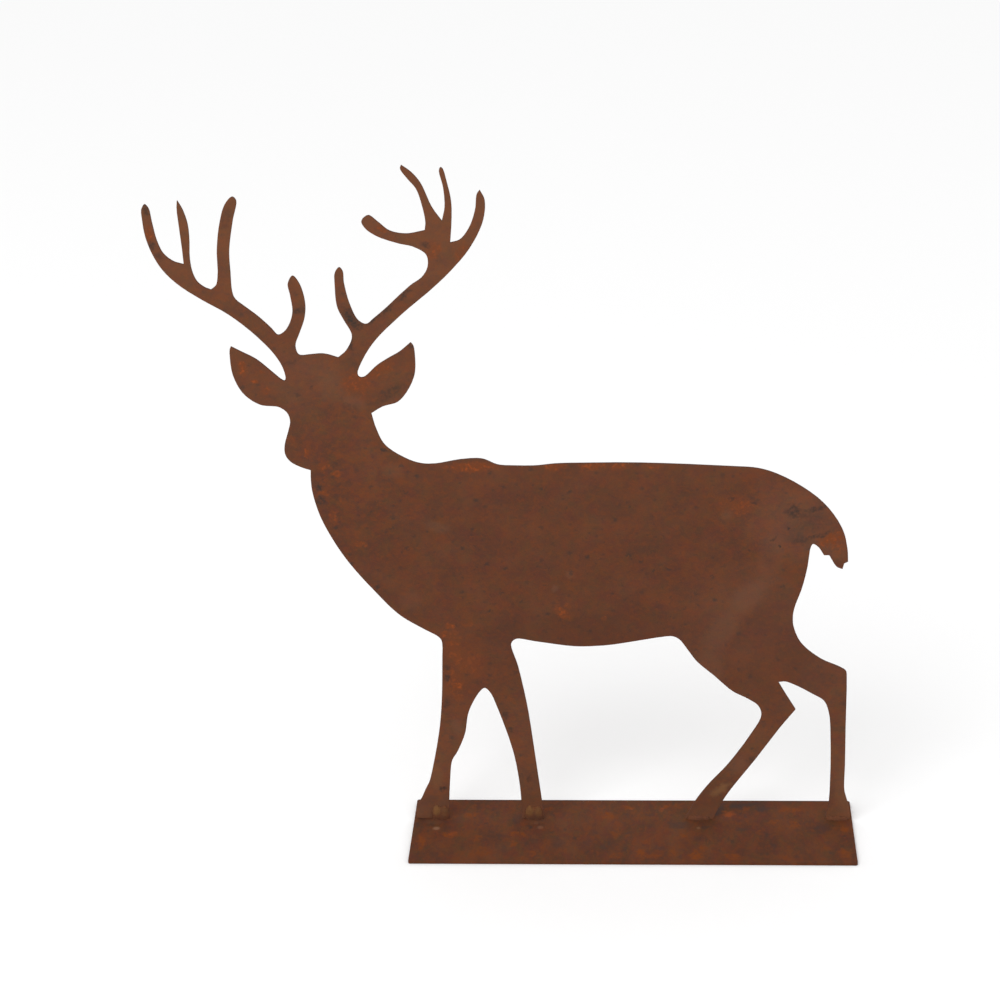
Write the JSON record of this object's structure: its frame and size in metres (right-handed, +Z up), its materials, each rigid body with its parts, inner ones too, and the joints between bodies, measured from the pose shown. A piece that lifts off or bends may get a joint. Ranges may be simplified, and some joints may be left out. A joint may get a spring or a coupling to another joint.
{
  "type": "flat steel stag silhouette ornament on a base plate",
  "caption": "Flat stag silhouette with branching antlers, cut from rusted steel sheet and welded upright by its feet to a flat rectangular plate that rests on level ground.",
  "frame": {"origin": "centre of the underside of the base plate", "axes": "+Z up, +X from the head towards the tail, along the sheet, +Y from the viewer towards the back"},
  "size_m": [0.4623, 0.09, 0.465],
  "materials": {
    "base_rust": "even brown rust with orange blooms and dark blue-brown patches, dull",
    "figure_rust": "even brown rust, finely mottled, dull",
    "weld_rust": "yellow-brown heat-tinted weld metal under thin rust"
  },
  "bodies": {
    "root": {"base_plate": "base_rust", "stag_silhouette": "figure_rust", "first_foreleg_weld": "weld_rust", "second_foreleg_weld": "weld_rust", "first_hindleg_weld": "weld_rust", "second_hindleg_weld": "weld_rust"}
  },
  "joints": []
}
